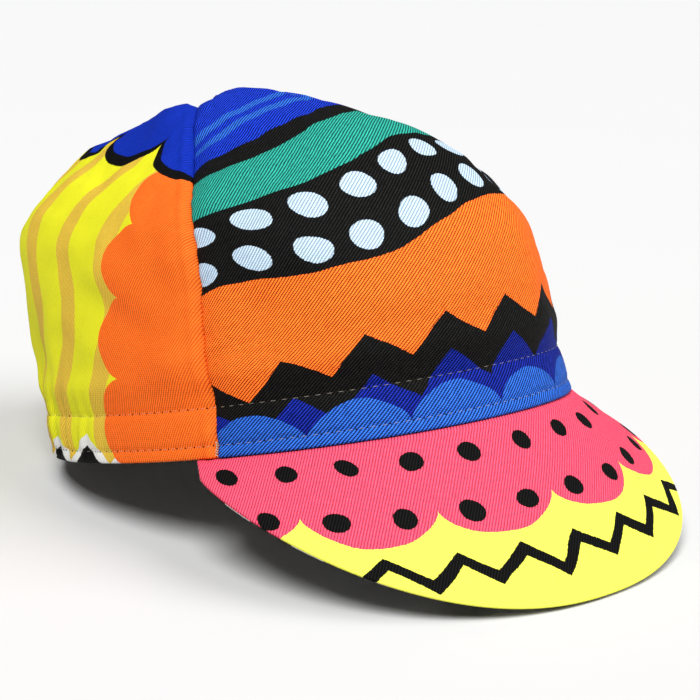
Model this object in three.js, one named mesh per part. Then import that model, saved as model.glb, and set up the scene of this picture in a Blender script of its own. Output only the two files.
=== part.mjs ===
// Cycling cap: a crown of three cloth gores over a stitched band, and a short cloth peak that droops.
// Millimetres, +Z up, the peak toward -Y and the wearer's right toward -X.
// The cap is shaped upright, with its opening level at height nought, and is then tipped back and
// lifted to rest on the front edge of its peak and the back of its band. The origin is on the surface
// that it rests on, under the middle of its extents.
import * as THREE from "three";

// Opening of the cap, at the lower edge of the band
const openingLength = 193.3;
const openingWidth = 158.3;
const openingRoundness = 2.1;

// Crown
const crownHeight = 110;
const apexBehindCentre = 31;
const apexHole = 2;
const clothWall = 1.6;
const seamGap = 0.3;
const seamDip = 1.1;
const seamDipWidth = 7;
const seamDipStart = 10;
const frontSeamAngle = 62;
const bandHeight = 15;

// Loose cloth drawn in by the elastic at the back of the band
const gatherHeight = 0.9;
const gatherPitch = 17;
const gatherReach = 62;
const gatherTop = 48;

// Inner tape, stitched to the band by two rows
const tapeHeight = 15;
const tapeLift = 1.4;
const tapeWall = 1;
const tapeGap = 0.7;
const pieceGap = 0.3;

// Peak
const peakHalfAngle = 66.5;
const peakLength = 61.2;
const peakCornerLength = 9.3;
const peakEdgePower = 2.12;
const peakEdgeRoundness = 0.81;
const peakFan = 0.5;
const peakDroopFront = 58.9;
const peakDroopCorner = 34.1;
const peakCloth = 1;
const peakThickening = 0.35;

// How the cap rests
const restTilt = 13.6;
const restLift = 21.6;
const restShift = 7.6;

// Cells across each piece
const frontColumns = 34;
const backColumns = 33;
const bandRows = 2;
const crownRows = 13;
const tapeRows = 2;
const peakColumns = 30;
const peakRows = 6;

// Sections of the crown from the band's edge up to the apex, for its front, its sides and its back.
// Out is the share of the way from the apex out to the band's edge, and up is the share of the height.
const crownSections = [
  { along: 0.0, frontOut: 1.0, frontUp: 0.0, sideOut: 1.0, sideUp: 0.0, backOut: 1.0, backUp: 0.0 },
  { along: 0.13, frontOut: 0.982, frontUp: 0.145, sideOut: 0.992, sideUp: 0.144, backOut: 1.048, backUp: 0.154 },
  { along: 0.3, frontOut: 0.985, frontUp: 0.375, sideOut: 0.94, sideUp: 0.36, backOut: 1.14, backUp: 0.395 },
  { along: 0.48, frontOut: 0.918, frontUp: 0.585, sideOut: 0.895, sideUp: 0.555, backOut: 1.168, backUp: 0.615 },
  { along: 0.66, frontOut: 0.705, frontUp: 0.812, sideOut: 0.812, sideUp: 0.68, backOut: 1.135, backUp: 0.775 },
  { along: 0.82, frontOut: 0.425, frontUp: 0.945, sideOut: 0.61, sideUp: 0.825, backOut: 0.785, backUp: 0.94 },
  { along: 0.93, frontOut: 0.17, frontUp: 1.037, sideOut: 0.31, sideUp: 0.995, backOut: 0.4, backUp: 0.995 },
  { along: 1.0, frontOut: 0.0, frontUp: 1.0, sideOut: 0.0, sideUp: 1.0, backOut: 0.0, backUp: 1.0 },
];

// Whole turns in radians, and the step used to measure slopes of the crown
const degree = Math.PI / 180;
const turn = 2 * Math.PI;
const slopeStep = 0.002;

// Smooth curve through one column of the sections
function sectionValue(column, along) {
  const last = crownSections.length - 1;
  let row = 0;
  while (row < last - 1 && crownSections[row + 1].along < along) {
    row += 1;
  }
  const slopeAt = (index) => {
    const before = crownSections[Math.max(index - 1, 0)];
    const after = crownSections[Math.min(index + 1, last)];
    return (after[column] - before[column]) / (after.along - before.along);
  };
  const low = crownSections[row];
  const high = crownSections[row + 1];
  const width = high.along - low.along;
  const part = (along - low.along) / width;
  const part2 = part * part;
  const part3 = part2 * part;
  const lowShare = 2 * part3 - 3 * part2 + 1;
  const lowSlope = part3 - 2 * part2 + part;
  const highShare = 3 * part2 - 2 * part3;
  const highSlope = part3 - part2;
  return (
    lowShare * low[column] +
    lowSlope * width * slopeAt(row) +
    highShare * high[column] +
    highSlope * width * slopeAt(row + 1)
  );
}

// Edge of the opening at an angle that starts at the peak and turns toward the wearer's right
function openingPoint(angle) {
  const power = 2 / openingRoundness;
  const side = Math.sin(angle);
  const front = Math.cos(angle);
  const x = -Math.sign(side) * (openingWidth / 2) * Math.abs(side) ** power;
  const y = -Math.sign(front) * (openingLength / 2) * Math.abs(front) ** power;
  return new THREE.Vector3(x, y, 0);
}

// Crown before its seams and gathers are pressed in
function plainCrownPoint(angle, along) {
  const front = Math.cos(angle);
  const frontShare = front > 0 ? front * front : 0;
  const backShare = front < 0 ? front * front : 0;
  const sideShare = 1 - front * front;
  const out =
    sectionValue("frontOut", along) * frontShare +
    sectionValue("sideOut", along) * sideShare +
    sectionValue("backOut", along) * backShare;
  const up =
    sectionValue("frontUp", along) * frontShare +
    sectionValue("sideUp", along) * sideShare +
    sectionValue("backUp", along) * backShare;
  const edge = openingPoint(angle);
  const y = apexBehindCentre + (edge.y - apexBehindCentre) * out;
  return new THREE.Vector3(edge.x * out, y, crownHeight * up);
}

// Direction straight out of the crown's cloth
function crownNormal(angle, along) {
  const low = Math.max(along - slopeStep, 0);
  const high = Math.min(along + slopeStep, 1 - slopeStep);
  const across = plainCrownPoint(angle + slopeStep, along).sub(plainCrownPoint(angle - slopeStep, along));
  const upward = plainCrownPoint(angle, high).sub(plainCrownPoint(angle, low));
  return across.cross(upward).normalize().negate();
}

// Smooth step from nought to one between two values
function smoothStep(low, high, value) {
  return THREE.MathUtils.smoothstep(value, low, high);
}

const seamAngles = [frontSeamAngle * degree, Math.PI, turn - frontSeamAngle * degree];

// How far the cloth moves along its own normal: in at the seams, in and out at the gathers
function clothShift(angle, point) {
  const reach = Math.hypot(point.x, point.y - apexBehindCentre);
  const wrapped = ((angle % turn) + turn) % turn;
  let dip = 0;
  for (const seam of seamAngles) {
    const distance = Math.abs(wrapped - seam) * reach;
    dip += Math.exp(-((distance / seamDipWidth) ** 2));
  }
  dip *= smoothStep(0, seamDipStart, reach) * smoothStep(0, bandHeight, point.z);
  const behind = Math.abs(wrapped - Math.PI) / degree;
  const waves = Math.cos((wrapped - Math.PI) * (openingWidth / 2 / gatherPitch) * turn);
  const gather = waves * (1 - smoothStep(gatherReach / 2, gatherReach, behind));
  const fade = smoothStep(0, bandHeight / 2, point.z) * (1 - smoothStep(bandHeight, gatherTop, point.z));
  return gatherHeight * gather * fade - seamDip * dip;
}

// Point of the crown, a depth inside its outer face
function crownPoint(angle, along, depth) {
  const point = plainCrownPoint(angle, along);
  const shift = clothShift(angle, point) - depth;
  return point.addScaledVector(crownNormal(angle, along), shift);
}

// Share of the way to the apex at which the crown's edge reaches a height
function alongAtHeight(angle, height) {
  let low = 0;
  let high = crownSections[3].along;
  while (high - low > slopeStep / 100) {
    const middle = (low + high) / 2;
    if (plainCrownPoint(angle, middle).z < height) {
      low = middle;
    } else {
      high = middle;
    }
  }
  return low;
}

// Share of the way to the apex at which the gores stop, short of closing the hole
function alongAtApex() {
  let low = crownSections[crownSections.length - 2].along;
  let high = 1;
  while (high - low > slopeStep / 100) {
    const middle = (low + high) / 2;
    const point = plainCrownPoint(Math.PI / 2, middle);
    if (Math.abs(point.x) > apexHole / 2) {
      low = middle;
    } else {
      high = middle;
    }
  }
  return low;
}

// Tip the upright cap back, lift it, and flatten what would be below the surface it rests on
function restPoint(point) {
  const rested = point.clone().applyAxisAngle(new THREE.Vector3(1, 0, 0), -restTilt * degree);
  rested.y += restShift;
  rested.z = Math.max(rested.z + restLift, 0);
  return rested;
}

// Closed sheet of cloth from the points of its outer and inner faces.
// A ring joins its last column to its first, and a strip has two ends of its own.
function closedSheet(outer, inner, ring) {
  const rows = outer.length;
  const columns = outer[0].length;
  const positions = [];
  for (const face of [outer, inner]) {
    for (const line of face) {
      for (const point of line) {
        const rested = restPoint(point);
        positions.push(rested.x, rested.y, rested.z);
      }
    }
  }
  const outerAt = (row, column) => row * columns + (column % columns);
  const innerAt = (row, column) => rows * columns + outerAt(row, column);
  const indices = [];
  const addCell = (a, b, c, d) => {
    indices.push(a, b, c, a, c, d);
  };
  const columnCells = ring ? columns : columns - 1;
  for (let row = 0; row < rows - 1; row += 1) {
    for (let column = 0; column < columnCells; column += 1) {
      const next = column + 1;
      addCell(outerAt(row, column), outerAt(row + 1, column), outerAt(row + 1, next), outerAt(row, next));
      addCell(innerAt(row, column), innerAt(row, next), innerAt(row + 1, next), innerAt(row + 1, column));
    }
  }
  const top = rows - 1;
  for (let column = 0; column < columnCells; column += 1) {
    const next = column + 1;
    addCell(outerAt(0, column), outerAt(0, next), innerAt(0, next), innerAt(0, column));
    addCell(outerAt(top, column), innerAt(top, column), innerAt(top, next), outerAt(top, next));
  }
  if (!ring) {
    const end = columns - 1;
    for (let row = 0; row < rows - 1; row += 1) {
      addCell(outerAt(row, 0), innerAt(row, 0), innerAt(row + 1, 0), outerAt(row + 1, 0));
      addCell(outerAt(row, end), outerAt(row + 1, end), innerAt(row + 1, end), innerAt(row, end));
    }
  }
  const geometry = new THREE.BufferGeometry();
  geometry.setAttribute("position", new THREE.Float32BufferAttribute(positions, 3));
  geometry.setIndex(indices);
  geometry.computeVertexNormals();
  return geometry;
}

// Angles between two seams, equal steps apart
function gapAngles(start, end, cells) {
  const angles = [];
  for (let cell = 0; cell <= cells; cell += 1) {
    angles.push(start + ((end - start) * cell) / cells);
  }
  return angles;
}

// One gore of the crown, between two seams, from the band's edge to the apex
function gore(start, end, cells) {
  const angles = gapAngles(start, end, cells);
  const apex = alongAtApex();
  const outer = [];
  const inner = [];
  for (let row = 0; row <= bandRows + crownRows; row += 1) {
    const outerLine = [];
    const innerLine = [];
    for (const angle of angles) {
      const band = alongAtHeight(angle, bandHeight);
      const along =
        row <= bandRows
          ? (band * row) / bandRows
          : band + ((apex - band) * (row - bandRows)) / crownRows;
      let pulled = angle;
      if (angle === start || angle === end) {
        const near = plainCrownPoint(angle + slopeStep, along);
        const metresPerRadian = near.distanceTo(plainCrownPoint(angle, along)) / slopeStep;
        const pull = seamGap / 2 / metresPerRadian;
        pulled = angle === start ? angle + pull : angle - pull;
      }
      outerLine.push(crownPoint(pulled, along, 0));
      innerLine.push(crownPoint(pulled, along, clothWall));
    }
    outer.push(outerLine);
    inner.push(innerLine);
  }
  return closedSheet(outer, inner, false);
}

// Ring of tape inside the band, a gap from the crown's cloth
function innerTape() {
  const angles = [
    ...gapAngles(seamAngles[0], seamAngles[1], backColumns).slice(0, -1),
    ...gapAngles(seamAngles[1], seamAngles[2], backColumns).slice(0, -1),
    ...gapAngles(seamAngles[2], seamAngles[0] + turn, frontColumns).slice(0, -1),
  ];
  const outer = [];
  const inner = [];
  for (let row = 0; row <= tapeRows; row += 1) {
    const height = tapeLift + (tapeHeight * row) / tapeRows;
    const tapeFace = (depth) => {
      return angles.map((angle) => crownPoint(angle, alongAtHeight(angle, height), depth));
    };
    outer.push(tapeFace(clothWall + tapeGap));
    inner.push(tapeFace(clothWall + tapeGap + tapeWall));
  }
  return closedSheet(outer, inner, true);
}

// Point of the peak, a depth below its upper face: share is nought at the band and one at the free
// edge. The covers hang under the band's edge, and then lie evenly about the peak's middle.
function peakPoint(angle, share, depth) {
  const across = Math.abs(angle) / (peakHalfAngle * degree);
  const edgeShape = (1 - across ** peakEdgePower) ** peakEdgeRoundness;
  const length = peakCornerLength + (peakLength - peakCornerLength) * edgeShape;
  const heading = angle * peakFan;
  const droop = (peakDroopFront + (peakDroopCorner - peakDroopFront) * across * across) * degree;
  const upperHalf = (peakCloth + pieceGap / 2) * smoothStep(0, peakThickening, share);
  const sunk = depth - upperHalf;
  const ahead = new THREE.Vector3(-Math.sin(heading), -Math.cos(heading), 0);
  const down = new THREE.Vector3(0, 0, -1);
  const point = openingPoint(angle);
  point.z -= pieceGap;
  point.addScaledVector(ahead, length * share * Math.cos(droop));
  point.addScaledVector(down, length * share * Math.sin(droop));
  point.addScaledVector(ahead, -sunk * Math.sin(droop));
  point.addScaledVector(down, sunk * Math.cos(droop));
  return point;
}

// One cloth cover of the peak, between two depths below its upper face
function peakCover(topDepth, wall) {
  const angles = gapAngles(-peakHalfAngle * degree, peakHalfAngle * degree, peakColumns);
  const outer = [];
  const inner = [];
  for (let row = 0; row <= peakRows; row += 1) {
    const share = 1 - row / peakRows;
    outer.push(angles.map((angle) => peakPoint(angle, share, topDepth)));
    inner.push(angles.map((angle) => peakPoint(angle, share, topDepth + wall)));
  }
  return closedSheet(outer, inner, false);
}

// Named mesh in a plain cloth colour
function clothMesh(name, geometry, color) {
  const material = new THREE.MeshStandardMaterial({ color, roughness: 0.85, metalness: 0 });
  const mesh = new THREE.Mesh(geometry, material);
  mesh.name = name;
  return mesh;
}

const cap = new THREE.Group();
const [rightSeam, backSeam, leftSeam] = seamAngles;
cap.add(clothMesh("front_panel", gore(leftSeam, rightSeam + turn, frontColumns), 0x1f3fc4));
cap.add(clothMesh("back_right_panel", gore(rightSeam, backSeam, backColumns), 0xe8e62e));
cap.add(clothMesh("back_left_panel", gore(backSeam, leftSeam, backColumns), 0xe8e62e));
cap.add(clothMesh("inner_tape", innerTape(), 0x222222));
cap.add(clothMesh("peak_top", peakCover(0, peakCloth), 0xff6385));
cap.add(clothMesh("peak_under", peakCover(peakCloth + pieceGap, peakCloth), 0xe9e9e4));

export default cap;
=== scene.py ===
"""A cloth cycling cap in printed twill, resting on a pale floor.

Shapes are worked out in millimetres in the cap's own upright frame, with its opening level at height
nought, its peak toward -Y and the wearer's right toward -X. They are then tipped back to rest on the
front edge of the peak and the back of the band, as the frame's solids do.
"""

import math

import bmesh
import bpy
import numpy as np
from mathutils import Matrix, Vector


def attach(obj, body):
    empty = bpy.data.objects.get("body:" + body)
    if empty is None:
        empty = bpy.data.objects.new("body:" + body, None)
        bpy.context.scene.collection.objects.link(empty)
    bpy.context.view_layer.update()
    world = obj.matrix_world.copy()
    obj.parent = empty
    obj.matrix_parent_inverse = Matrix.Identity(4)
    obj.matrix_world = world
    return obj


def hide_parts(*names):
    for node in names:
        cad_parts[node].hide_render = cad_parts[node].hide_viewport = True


MILLIMETRE = 0.001
DEGREE = math.pi / 180
TURN = 2 * math.pi

# Opening of the cap, at the lower edge of the band
OPENING_LENGTH = 193.3
OPENING_WIDTH = 158.3
OPENING_ROUNDNESS = 2.1

# Crown: its height over the opening, its cloth, and how far folds may press the cloth in
CROWN_HEIGHT = 110
APEX_BEHIND_CENTRE = 31
APEX_HOLE = 0.02
CLOTH_WALL = 1.6
THINNEST_CLOTH = 0.3
DEEPEST_PRESS = 1.9
DEEPEST_PRESS_ABOVE = 5.7
DEEPEST_INNER = 2.25
FRONT_SEAM_ANGLE = 62
SLOPE_STEP = 0.002

# Sections of the crown from the band's edge up to the apex: how far along, and then how far out and
# how far up it is at the front, at the sides and at the back, as shares of the opening and the height
CROWN_SECTIONS = (
    (0.0, 1.0, 0.0, 1.0, 0.0, 1.0, 0.0),
    (0.13, 0.982, 0.145, 0.992, 0.144, 1.048, 0.154),
    (0.3, 0.985, 0.375, 0.94, 0.36, 1.14, 0.395),
    (0.48, 0.918, 0.585, 0.895, 0.555, 1.168, 0.615),
    (0.66, 0.705, 0.812, 0.812, 0.68, 1.135, 0.775),
    (0.82, 0.425, 0.945, 0.61, 0.825, 0.785, 0.94),
    (0.93, 0.17, 1.037, 0.31, 0.995, 0.4, 0.995),
    (1.0, 0.0, 1.0, 0.0, 1.0, 0.0, 1.0),
)

# Seams: a wide dip where the gores pull in, a narrow crease between them, and the raised strip where
# the seam's spare cloth lies under the back gores
SEAM_DIP = 1.5
SEAM_DIP_WIDTH = 6
SEAM_DIP_START = 10
SEAM_CREASE = 1.1
SEAM_CREASE_WIDTH = 0.9
SEAM_RIDGE = 0.6
SEAM_RIDGE_PLACE = 3.4
SEAM_RIDGE_WIDTH = 1.8
SEAM_PUCKER = 0.28
SEAM_PUCKER_PITCH = 9
SEAM_PUCKER_REACH = 7
SEAM_NOISE_STRETCH = 3
SEAM_SEED = 7
SEAM_SLIT = 0.06

# How the gores puff up around the apex
APEX_RISE = 1.9
APEX_RISE_WIDTH = 13
APEX_CALM = 20

# Fold that storing leaves down the middle of the front
CENTRE_FOLD = 0.4
CENTRE_FOLD_WIDTH = 7
CENTRE_FOLD_START = 45
CENTRE_FOLD_FULL = 75

# Band, its two rows of stitches and its hem
BAND_HEIGHT = 15
LOWER_STITCH_HEIGHT = 3.7
UPPER_STITCH_HEIGHT = 14.9
LOWER_GROOVE = 0.4
LOWER_GROOVE_WIDTH = 1.0
UPPER_GROOVE = 0.4
UPPER_GROOVE_WIDTH = 1.2
BAND_PUFF = 0.3
BAND_PUFF_WIDTH = 3.75
BAND_SHOULDER = 0.7
BAND_SHOULDER_PLACE = 24
BAND_SHOULDER_WIDTH = 5
BAND_LEAN = 2.1
BAND_LEAN_AT_FRONT = 0.9
BAND_LEAN_TOP = 25
STITCH_PITCH = 3.4
GATHERED_STITCH_PITCH = 2.8
STITCH_SHARE = 0.6
THREAD_RADIUS = 0.1
THREAD_CLEARNESS = 0.72
THREAD_END_SHARE = 0.35
STITCH_ARCH = 2.2
# The needle holes are discs of painted shadow: their radius and lift off the cloth
NEEDLE_HOLE_RADIUS = 0.28
NEEDLE_HOLE_LIFT = 0.05
TACK_STEP = 0.7
TACK_LENGTH = 0.8
TACK_FOOT = 1
TACK_TOP = 5
TACK_THREAD_RADIUS = 0.13
TACK_ARCH_SHARE = 0.3

# Gathers that the elastic makes at the back: broad ones that the frame has too, fine ones, and puckers on
# the band. Each reaches some degrees to either side of the back.
GATHER_HEIGHT = 0.9
GATHER_PITCH = 17
GATHER_REACH = 62
GATHER_TOP = 48
FINE_GATHER_HEIGHT = 0.65
FINE_GATHER_PITCH = 7.5
FINE_GATHER_REACH = 105
FINE_GATHER_TOP = 40
PUCKER_HEIGHT = 0.5
PUCKER_PITCH = 4.3
PUCKER_FULL_TOP = 13.9
PUCKER_TOP = 26

# How the fine gathers and the puckers wander, and how the gathers' strength changes, in patches of a size
GATHER_RADIUS = 60
FINE_GATHER_START = 3
FINE_GATHER_WANDER = 1.6
FINE_GATHER_WANDER_SIZE = 14
FINE_GATHER_SEED = 3
FINE_GATHER_MEAN = 0.7
FINE_GATHER_SPREAD = 0.5
FINE_GATHER_PATCH = 20
FINE_GATHER_PATCH_SEED = 4
PUCKER_WANDER = 2.5
PUCKER_WANDER_SIZE = 11
PUCKER_SEED = 5

# Soft unevenness of cloth that nothing stretches: broad ripples, each with its size and its height, and
# upright ones over the band. They fade out toward the back seam over an angle in degrees.
RIPPLES = ((40, 0.9), (19, 1.15), (9.5, 0.6))
RIPPLE_TURN = 0.6
RIPPLE_AT_FRONT = 0.5
RIPPLE_SEED = 11
BACK_SEAM_CALM = 13
CLOTH_RADIUS = 80
UPRIGHT_RIPPLE_HEIGHT = 1.3
UPRIGHT_RIPPLE_SIZE = 11
UPRIGHT_RIPPLE_STRETCH = 5
UPRIGHT_RIPPLE_START = 12
UPRIGHT_RIPPLE_TOP = 70
UPRIGHT_RIPPLE_AT_FRONT = 0.3
UPRIGHT_RIPPLE_SEED = 14
NOISE_CELLS = 64
NOISE_START = 1000

# Shallow folds, listed one by one: angle round the crown, height up the cloth, half length, half width,
# turn, and how far each pushes the cloth out (in degrees and millimetres)
DENTS = (
    (87, 48, 17, 5.5, 32, -1.6),
    (93, 37, 15, 5, 30, 0.9),
    (81, 66, 16, 6, 50, -1.2),
    (69, 29, 10, 5, 10, 1.0),
    (72, 60, 20, 6, 80, -1.0),
    (123, 31, 16, 12, 0, -2.4),
    (130, 62, 14, 10, 0, 0.8),
    (120, 109, 26, 3, 0, -2.2),
    (-34, 71, 12, 8, 0, -1.5),
    (117, 14, 9, 6, 0, 1.6),
    (52, 50, 20, 7, 70, -0.8),
    (44, 33, 12, 5, 25, 0.6),
    (-40, 45, 18, 6, -35, -0.8),
    (-95, 50, 18, 6, -30, -0.9),
    (-128, 42, 15, 6, 20, 0.7),
)

# Inner tape
TAPE_HEIGHT = 15
TAPE_LIFT = 1.4
TAPE_WALL = 1
TAPE_GAP = 0.7
TAPE_CLEARING = 3
TAPE_EDGE_THINNING = 0.4
TAPE_EDGE_SHARE = 0.04
TAPE_GATHER_SHARE = 0.8

# Peak
PEAK_HALF_ANGLE = 66.5
PEAK_LENGTH = 61.2
PEAK_CORNER_LENGTH = 9.3
PEAK_EDGE_POWER = 2.28
PEAK_EDGE_ROUNDNESS = 0.83
PEAK_FAN = 0.5
PEAK_DROOP_FRONT = 58.9
PEAK_DROOP_CORNER = 34.1
PEAK_CLOTH = 1
PEAK_THICKENING = 0.35
PIECE_GAP = 0.3
PEAK_TUCK = 1.2
PEAK_TUCK_GAP = 0.12
UNDER_INSET = 1.0

# How the cap rests
REST_TILT = 13.6
REST_LIFT = 21.6
REST_SHIFT = 7.6

# Cells across each piece
GORE_COLUMNS = 170
BAND_ROWS = 34
BAND_ROWS_TOP = 17
CROWN_ROWS = 96
EDGE_CROWDING = 0.6
TAPE_COLUMNS = 400
TAPE_ROWS = 12
PEAK_COLUMNS = 150
PEAK_ROWS = 44
ROUND_ROWS = 6
THREAD_SIDES = 6
THREAD_CELLS = 5
NEEDLE_HOLE_SIDES = 8
STITCH_LINE_STEPS = 4000

# Steps of each search for a height, and the least turn from one row of flat cloth to the next
HALVINGS = 24
LEAST_TILT_STEP = 1e-7

# Points nearer than this are one, and the flat maps of the cloth are this wide, in millimetres
SAME_PLACE = 0.0001
MAP_SIZE = 100

# A direction that no thread follows, which its first side is turned from
THREAD_GUIDE = (0.13, 0.27, 0.95)

# Camera, at the photograph's place, in millimetres, with its roll in degrees
CAMERA_PLACE = (-363.5, -441.6, 186.5)
CAMERA_TARGET = (14.9, 2.3, 44.8)
CAMERA_ROLL = 0.52
CAMERA_LENS = 91.2
CAMERA_SENSOR = 36

# Twill: the pitch of its ribs and of the floats along them in millimetres, the slant of the ribs on each
# piece in degrees, and how strongly the painted shade between the ribs and the painted highlight on their
# tops show
TWILL_PITCH = 0.86
FLOAT_PITCH = 0.9 * TWILL_PITCH
FRONT_GRAIN = -41
BACK_GRAIN = -67
PEAK_GRAIN = 50
RIB_SHARPNESS = 0.75
LEAST_RIB = 0.4
KNOT_HEIGHT = 0.4
YARN_SCALE = 0.5
YARN_DETAIL = 3
YARN_WANDER = 2.4
YARN_UNEVENNESS = 0.7
FIBRE_SCALE = 1.1
FIBRE_DETAIL = 2
WEAVE_MIDDLE = 0.5
WEAVE_BUMP = 0.8
WEAVE_RELIEF = 0.00018
# How strongly each cloth shows the painted shade between its ribs and the painted highlight on their tops
FRONT_CONTRAST = 2.9
BACK_CONTRAST = 1.3
PEAK_CONTRAST = 1.6
REVERSE_CONTRAST = 1.0
DEEPEST_SHADE = 0.12
BRIGHT_INK_CALM = 1.1
# Share of pale cotton on the rib tops: partly undyed fibre, partly painted highlight
BARE_FIBRE_AND_RIB_HIGHLIGHT = 0.006
INK_DEPTH = 0.82

# Edges of the print: their softness, and how unevenly they are drawn, in millimetres and per millimetre
PRINT_EDGE = 0.25
DRAWN_SCALE = 0.045
DRAWN_AMOUNT = 4.5
DRAWN_DETAIL = 1
SERRATION_SCALE = 1.2
SERRATION_AMOUNT = 0.5
SCALLOP_ROUNDNESS = 0.6

# Level line that the print's planes turn about, this far behind each gore's end at the apex
PRINT_HINGE = 130

# Colours of the print, as red, green and blue from 0 to 255
ROYAL_BLUE = (10, 44, 166)
# Royal blue darkened for the front of the band, between its scallops and its zigzag: painted shade
SHADED_HEM_BLUE = (3, 25, 124)
MID_BLUE = (34, 86, 178)
BLACK = (6, 6, 6)
TEAL = (36, 142, 126)
ORANGE = (252, 110, 34)
PALE_BLUE = (184, 206, 226)
YELLOW = (236, 234, 40)
MUSTARD = (228, 190, 66)
PINK = (238, 79, 106)
BRIGHT_YELLOW = (255, 255, 96)
WHITE = (236, 236, 232)
TAPE_WHITE = (226, 222, 210)
THREAD_CREAM = (205, 198, 180)
# Painted shadow inside the needle holes
HOLE_SHADOW = (22, 16, 12)
FLOOR_PALE = (200, 200, 200)
# Pale undyed fibre, also the colour of the painted highlight on the rib tops
COTTON = (205, 202, 196)

# Prints, in millimetres on the flat cloth, up from the hem or out from the band. An edge
# has its kind, its turn in degrees, and its height and length. A layer has the edge that it follows, its
# pattern, the sizes of that pattern and its ink, and each lies over those before it.
FAR_BELOW = -200
FAR_ABOVE = 400
FRONT_EDGES = {
    "wave": ("sine", -5, 5.5, 112),
    "zigzag": ("zigzag", -5, 10, 25),
    "scallops": ("scallop", 0, 9, 31),
}
FRONT_LAYERS = (
    ("wave", "dots", {"low": 61.5, "spacing": 17, "radius": 5.3}, PALE_BLUE),
    ("wave", "between", {"low": FAR_BELOW, "high": 62}, ORANGE),
    ("wave", "between", {"low": 118, "high": 130}, BLACK),
    ("wave", "between", {"low": 96, "high": 119}, TEAL),
    ("wave", "between", {"low": 130, "high": FAR_ABOVE}, ROYAL_BLUE),
    ("wave", "between", {"low": 142, "high": 146}, MID_BLUE),
    ("wave", "between", {"low": 150, "high": 154}, MID_BLUE),
    ("zigzag", "between", {"low": 12, "high": 25}, BLACK),
    # The front of the band in the darkened royal blue: painted shade
    ("zigzag", "between", {"low": FAR_BELOW, "high": 13}, SHADED_HEM_BLUE),
    ("scallops", "between", {"low": FAR_BELOW, "high": 4}, MID_BLUE),
)
BACK_EDGES = {
    "wave": ("sine", 90, 4, 66),
    "border": ("scallop", 90, -10, 29),
    "zigzag": ("zigzag", 0, 9, 27),
    "crest": ("scallop", 0, -13, 40),
}
BACK_LAYERS = (
    ("wave", "stripes", {"width": 10, "spacing": 27}, MUSTARD),
    ("zigzag", "between", {"low": FAR_BELOW, "high": 0.5}, WHITE),
    ("zigzag", "between", {"low": FAR_BELOW, "high": -3.5}, BLACK),
    ("border", "between", {"low": 62, "high": FAR_ABOVE}, ORANGE),
    ("crest", "between", {"low": 121, "high": FAR_ABOVE}, BLACK),
    ("crest", "between", {"low": 125, "high": FAR_ABOVE}, ROYAL_BLUE),
)
PEAK_EDGES = {
    "scallops": ("scallop", 0, 10, 36),
    "zigzag": ("zigzag", 0, 8, 18),
}
PEAK_LAYERS = (
    ("cloth", "dots", {"low": -18, "spacing": 18, "radius": 3.4}, BLACK),
    ("scallops", "between", {"low": 26, "high": FAR_ABOVE}, BRIGHT_YELLOW),
    ("zigzag", "between", {"low": 39.5, "high": 44}, BLACK),
)
UNDER_EDGES = {"wave": ("sine", 34.4, 4, 60)}
UNDER_LAYERS = (("wave", "stripes", {"width": 12, "spacing": 27}, WHITE),)

# Finish of each cloth and thread, and the fine unevenness of the thread's and the floor's colour
CLOTH_ROUGHNESS = 0.66
CLOTH_SHINE = 0.05
REVERSE_ROUGHNESS = 0.85
REVERSE_SHINE = 0.2
THREAD_ROUGHNESS = 0.45
TACK_ROUGHNESS = 0.6
HOLE_ROUGHNESS = 1
THREAD_SHINE = 0.2
THREAD_DIMMEST = 0.7
THREAD_SPECKS = 2500
FLOOR_ROUGHNESS = 0.9
FLOOR_SHINE = 0.1
FLOOR_DIMMEST = 0.985
FLOOR_SPECKS = 3

# Lights: where each shines from, how wide it is in degrees and how strong, and the even surround
KEY_SOURCE = (0.6, -0.8, 1.0)
KEY_SPREAD = 50
KEY_STRENGTH = 2.4
FILL_SOURCE = (-0.5, -0.35, 1.0)
FILL_SPREAD = 32
FILL_STRENGTH = 3.8
SURROUND_STRENGTH = 0.12
FLOOR_REACH = 30

SEAM_ANGLES = (FRONT_SEAM_ANGLE * DEGREE, math.pi, TURN - FRONT_SEAM_ANGLE * DEGREE)


# Shapes of the cap

def smooth_step(low, high, value):
    """Nought below low, one above high, and a smooth rise between."""
    part = np.clip((value - low) / (high - low), 0, 1)
    return part * part * (3 - 2 * part)


def bump_at(distance, width):
    """One at distance nought, fading to nothing over a few widths."""
    return np.exp(-((distance / width) ** 2))


def section_values(along):
    """The six columns of the crown's sections, read off smooth curves."""
    table = np.array(CROWN_SECTIONS)
    knots = table[:, 0]
    values = table[:, 1:]
    after = np.minimum(np.arange(len(knots)) + 1, len(knots) - 1)
    before = np.maximum(np.arange(len(knots)) - 1, 0)
    slopes = (values[after] - values[before]) / (knots[after] - knots[before])[:, None]
    row = np.clip(np.searchsorted(knots, along, side="right") - 1, 0, len(knots) - 2)
    width = (knots[row + 1] - knots[row])[..., None]
    part = (along - knots[row])[..., None] / width
    low_share = 2 * part**3 - 3 * part**2 + 1
    low_slope = part**3 - 2 * part**2 + part
    high_slope = part**3 - part**2
    return (
        low_share * values[row]
        + low_slope * width * slopes[row]
        + (1 - low_share) * values[row + 1]
        + high_slope * width * slopes[row + 1]
    )


def opening_point(angle):
    """Edge of the opening at an angle from the peak toward the wearer's right."""
    power = 2 / OPENING_ROUNDNESS
    side, front = np.sin(angle), np.cos(angle)
    x = -np.sign(side) * (OPENING_WIDTH / 2) * np.abs(side) ** power
    y = -np.sign(front) * (OPENING_LENGTH / 2) * np.abs(front) ** power
    return np.stack([x, y, np.zeros_like(x)], -1)


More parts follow.
